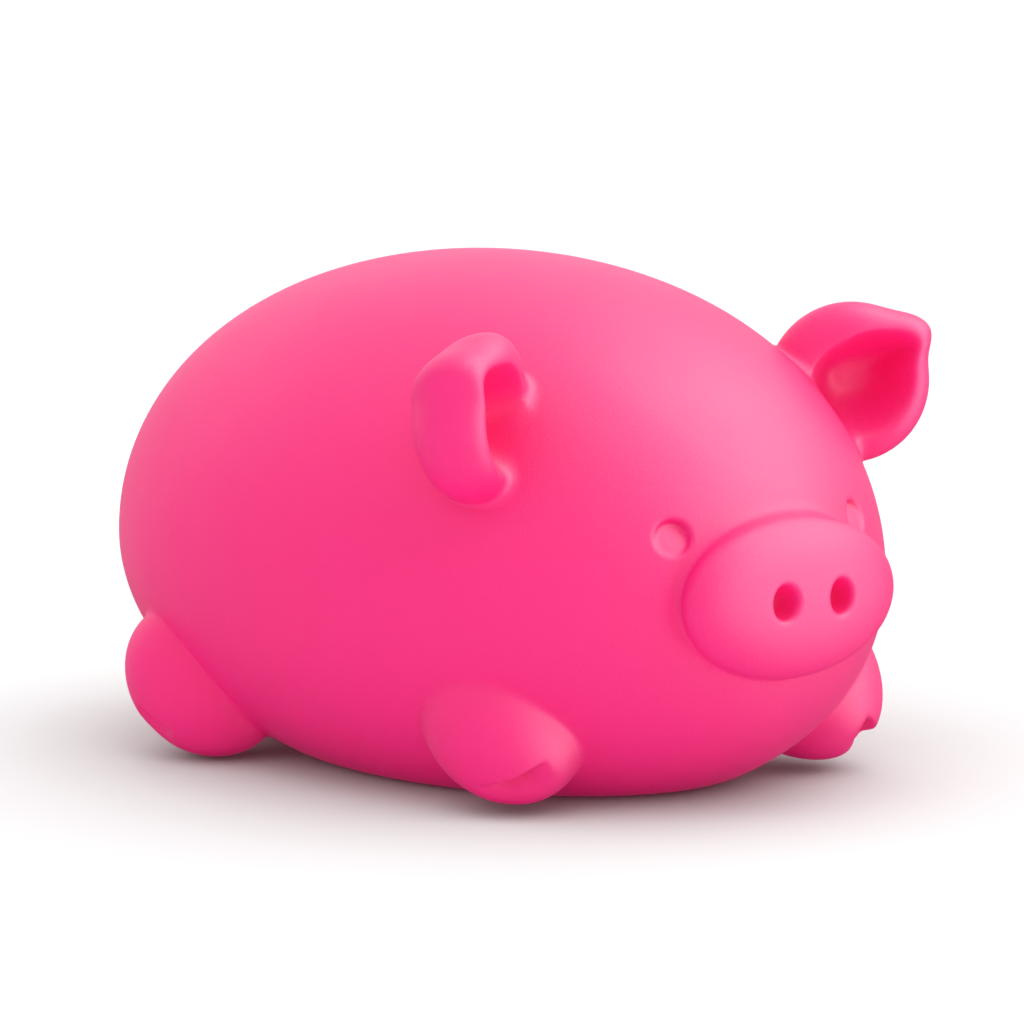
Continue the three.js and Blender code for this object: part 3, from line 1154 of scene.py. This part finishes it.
class Wire:
    """A shader value that can be added and multiplied."""

    def __init__(self, shade: "Shade", socket: bpy.types.NodeSocket) -> None:
        """Keeps the socket and the tree that it is in."""
        self.shade = shade
        self.socket = socket

    def math(self, operation: str, first: "Wire | float", second: "Wire | float") -> "Wire":
        """Adds one Math node."""
        return self.shade.node("ShaderNodeMath", {"operation": operation}, {0: first, 1: second})

    def __add__(self, other: "Wire | float") -> "Wire":
        """Adds a value to this one."""
        return self.math("ADD", self, other)

    def __radd__(self, other: float) -> "Wire":
        """Adds this value to a number."""
        return self.math("ADD", other, self)

    def __sub__(self, other: "Wire | float") -> "Wire":
        """Takes a value from this one."""
        return self.math("SUBTRACT", self, other)

    def __rsub__(self, other: float) -> "Wire":
        """Takes this value from a number."""
        return self.math("SUBTRACT", other, self)

    def __mul__(self, other: "Wire | float") -> "Wire":
        """Multiplies this value by another."""
        return self.math("MULTIPLY", self, other)

    def __rmul__(self, other: float) -> "Wire":
        """Multiplies a number by this value."""
        return self.math("MULTIPLY", other, self)


class Shade:
    """A material's node tree in the making."""

    def __init__(self, tree: bpy.types.NodeTree) -> None:
        """Empties a node tree."""
        self.tree = tree
        tree.nodes.clear()

    def node(self, kind: str, settings: dict, inputs: dict, output: int | str = 0) -> Wire:
        """Adds a node.

        Args:
            kind: The node's type.
            settings: Its own settings, which are set first.
            inputs: Values or wires for its sockets, by name, identifier or number.
            output: The socket that the wire leaves from.

        Returns:
            The wire.
        """
        made = self.tree.nodes.new(kind)
        for key, value in settings.items():
            setattr(made, key, value)
        known = {socket.identifier: socket for socket in made.inputs}
        for key, value in inputs.items():
            socket = known.get(key) or made.inputs[key]
            if isinstance(value, Wire):
                self.tree.links.new(value.socket, socket)
            else:
                socket.default_value = value
        leaving = {socket.identifier: socket for socket in made.outputs}
        return Wire(self, leaving.get(output) or made.outputs[output]) if leaving else None


@dataclass(frozen=True)
class Rubber:
    """A soft matte moulding rubber with a fine grain."""

    name: str
    colour: tuple[float, float, float]
    deep_colour: tuple[float, float, float]
    roughness: float = 0.5
    gloss: float = 0.5
    grain_size: float = 0.24 * MM
    grain_height: float = 0.03 * MM
    grain_tint: float = 0.2
    cloud_size: float = 14 * MM
    cloud_tint: float = 0.5
    cloud_roughness: float = 0.12

    def material(self) -> bpy.types.Material:
        """Makes the material."""
        made = bpy.data.materials.new(self.name)
        made.use_nodes = True
        shade = Shade(made.node_tree)
        place = shade.node("ShaderNodeTexCoord", {}, {}, "Object")
        cloud, grain = (
            shade.node("ShaderNodeTexNoise", {}, {"Vector": place, "Scale": 1 / size, "Detail": detail})
            for size, detail in ((self.cloud_size, 3.0), (self.grain_size, 2.0))
        )
        tint = shade.node(
            "ShaderNodeMix",
            {"data_type": "RGBA"},
            {
                "Factor_Float": cloud * self.cloud_tint + grain * self.grain_tint,
                "A_Color": (*self.colour, 1),
                "B_Color": (*self.deep_colour, 1),
            },
            "Result_Color",
        )
        bump = shade.node(
            "ShaderNodeBump", {}, {"Strength": 1.0, "Distance": self.grain_height, "Height": grain}
        )
        surface = shade.node(
            "ShaderNodeBsdfPrincipled",
            {},
            {
                "Base Color": tint,
                "Roughness": self.roughness - self.cloud_roughness / 2 + cloud * self.cloud_roughness,
                "Specular IOR Level": self.gloss,
                "Normal": bump,
            },
        )
        shade.node("ShaderNodeOutputMaterial", {}, {"Surface": surface})
        return made


class Lit(Enum):
    """What a light shows on: everything, only gloss, or only the floor."""

    ALL = "all"
    GLOSS = "gloss"
    FLOOR = "floor"


@dataclass(frozen=True)
class SoftLight:
    """A broad soft light, as even all over the floor as a far softbox."""

    name: str
    towards: tuple[float, float, float]
    strength: float
    breadth: float
    lit: Lit

    def hang(self, floor: bpy.types.Object) -> None:
        """Hangs the light.

        Args:
            floor: The floor, for a light that is its own.
        """
        data = bpy.data.lights.new(self.name, "SUN")
        data.energy = self.strength
        data.angle = math.radians(self.breadth)
        lamp = bpy.data.objects.new(self.name, data)
        lamp.rotation_euler = (-Vector(self.towards)).to_track_quat("-Z", "Y").to_euler()
        lamp.visible_glossy = self.lit is Lit.GLOSS
        lamp.visible_diffuse = self.lit is not Lit.GLOSS
        if self.lit is Lit.FLOOR:
            only = bpy.data.collections.new(f"{self.name}_only")
            only.objects.link(floor)
            lamp.light_linking.receiver_collection = only
        bpy.context.scene.collection.objects.link(lamp)


@dataclass(frozen=True)
class Studio:
    """A pale floor, soft light from above and the photograph's point of view."""

    eye: tuple[float, float, float] = (-0.399974, -0.508218, 0.117798)
    azimuth: float = -38.327
    elevation: float = 7.973
    field_of_view: float = 10
    floor_size: float = 6.0
    floor_colour: float = 0.3
    walls: float = 0.5
    ceiling: float = 1.1
    ceiling_starts: float = 0.6
    gloss_fades: tuple[float, float] = (0.25, -0.6)
    sensor_width: float = 36
    clip: tuple[float, float] = (0.01, 20)
    lamps: tuple[SoftLight, ...] = (
        SoftLight("overhead", (0.5, -0.4, 0.75), 0.6, 60, Lit.ALL),
        SoftLight("bounce", (-0.1, -0.65, -0.65), 0.6, 30, Lit.ALL),
        SoftLight("left", (-0.85, 0.2, -0.05), 0.2, 30, Lit.ALL),
        SoftLight("softbox_gloss", (0.5, -0.3, 0.8), 4.0, 70, Lit.GLOSS),
        SoftLight("front_gloss", (0.5, -0.85, 0.12), 3.3, 70, Lit.GLOSS),
        SoftLight("back_gloss", (0.1, 0.9, 0.35), 0.5, 80, Lit.GLOSS),
        SoftLight("bounce_gloss", (0.7, -0.6, -0.35), 0.5, 50, Lit.GLOSS),
        SoftLight("floor_top", (0.15, 0, 0.95), 2.8, 100, Lit.FLOOR),
        SoftLight("floor_right", (0.7, 0.1, 0.55), 3.0, 100, Lit.FLOOR),
        SoftLight("floor_front", (-0.4, -0.7, 0.5), 3.8, 100, Lit.FLOOR),
        SoftLight("floor_left", (-0.85, 0.1, 0.45), 2.4, 100, Lit.FLOOR),
    )

    def camera(self) -> None:
        """Puts the camera where the photograph was taken from."""
        data = bpy.data.cameras.new("camera")
        data.sensor_width = self.sensor_width
        data.lens = data.sensor_width / 2 / math.tan(math.radians(self.field_of_view) / 2)
        data.clip_start, data.clip_end = self.clip
        camera = bpy.data.objects.new("camera", data)
        camera.location = self.eye
        camera.rotation_euler = (math.radians(90 - self.elevation), 0, math.radians(self.azimuth))
        bpy.context.scene.collection.objects.link(camera)
        bpy.context.scene.camera = camera

    def floor(self) -> bpy.types.Object:
        """Lays the floor."""
        mesh = bpy.data.meshes.new("floor")
        plane = bmesh.new()
        bmesh.ops.create_grid(plane, x_segments=1, y_segments=1, size=self.floor_size)
        plane.to_mesh(mesh)
        plane.free()
        made = bpy.data.materials.new("floor_paint")
        made.use_nodes = True
        shade = Shade(made.node_tree)
        paint = shade.node("ShaderNodeBsdfDiffuse", {}, {"Color": (*[self.floor_colour] * 3, 1)})
        shade.node("ShaderNodeOutputMaterial", {}, {"Surface": paint})
        mesh.materials.append(made)
        floor = bpy.data.objects.new("floor", mesh)
        bpy.context.scene.collection.objects.link(floor)
        floor.visible_glossy = False
        floor.visible_shadow = False
        return floor

    def light(self, floor: bpy.types.Object) -> None:
        """Hangs the soft lights and whitens the surroundings.

        Args:
            floor: The floor.
        """
        for lamp in self.lamps:
            lamp.hang(floor)
        world = bpy.data.worlds.new("studio")
        world.use_nodes = True
        bpy.context.scene.world = world
        shade = Shade(world.node_tree)
        look = shade.node("ShaderNodeTexCoord", {}, {}, "Generated")
        up = shade.node("ShaderNodeSeparateXYZ", {}, {"Vector": look}, "Z")
        glow = shade.node(
            "ShaderNodeMapRange",
            {},
            {"Value": up, "From Max": self.ceiling_starts, "To Min": self.walls, "To Max": self.ceiling},
        )
        gloss = shade.node("ShaderNodeLightPath", {}, {}, "Is Glossy Ray")
        fades_from, fades_to = self.gloss_fades
        below = shade.node(
            "ShaderNodeMapRange", {}, {"Value": up, "From Min": fades_from, "From Max": fades_to}
        )
        strength = glow * (1 - gloss * below)
        white = shade.node("ShaderNodeBackground", {}, {"Color": (1, 1, 1, 1), "Strength": strength})
        shade.node("ShaderNodeOutputWorld", {}, {"Surface": white})

    def build(self) -> None:
        """Sets up the whole studio."""
        self.camera()
        self.light(self.floor())
        bpy.context.scene.view_settings.view_transform = "Standard"


PINK = Rubber("pink_rubber", (0.93, 0.012, 0.205), (0.89, 0.009, 0.185))
PLUG_PINK = Rubber("plug_rubber", (0.84, 0.02, 0.18), (0.78, 0.014, 0.15))
DOUGH = Rubber("dough", (0.86, 0.74, 0.66), (0.8, 0.66, 0.56), roughness=0.8)


def main() -> None:
    """Builds every piece, dresses it and joins it to its body."""
    logging.basicConfig(level=logging.INFO, format="%(name)s: %(message)s")
    Studio().build()
    rubber = PINK.material()
    egg = BodyEgg.from_frame()
    plug = Plug(egg)
    plug.dress(plug.build(), PLUG_PINK.material())
    filling = Filling(egg, plug)
    filling.dress(filling.build(), DOUGH.material())
    snout = Snout(egg)
    made = snout.build()
    snout.dress(made, rubber)
    roots = [Root.of(made, snout.softness)]
    front = Leg(
        egg, "front", bearing=46.3, elevation=-31.3, sink=3.05 * MM, pointing=20.5, pitch=-39.1, roll=2.7,
        length=18.8 * MM, width=18 * MM, height=16.6 * MM, toe_taper=0.18,
        cleft_pointing=36, cleft_pitch=-34, cleft_roll=-29,
    )
    rear = Leg(
        egg, "rear", bearing=115.6, elevation=-33.1, sink=0, pointing=108.3, pitch=-44.5, roll=-19.2,
        length=14.5 * MM, width=16.4 * MM, height=18.9 * MM, toe_taper=0.11,
        cleft_pointing=86, cleft_pitch=-30, cleft_roll=44, cleft_length=6 * MM, cleft_depth=1.1 * MM,
    )
    for limb in (Ear(egg), front, rear):
        for side in Side:
            made = limb.build(side)
            limb.dress(made, side, rubber)
            roots.append(Root.of(made, limb.softness))
    tail = Tail(egg)
    made = tail.build()
    tail.dress(made, Side.LEFT, rubber)
    roots.append(Root.of(made, tail.softness))
    skin = Skin(egg, snout, Eyes(egg), plug)
    skin.dress(skin.build(roots), rubber)


if __name__ == "__main__":
    main()
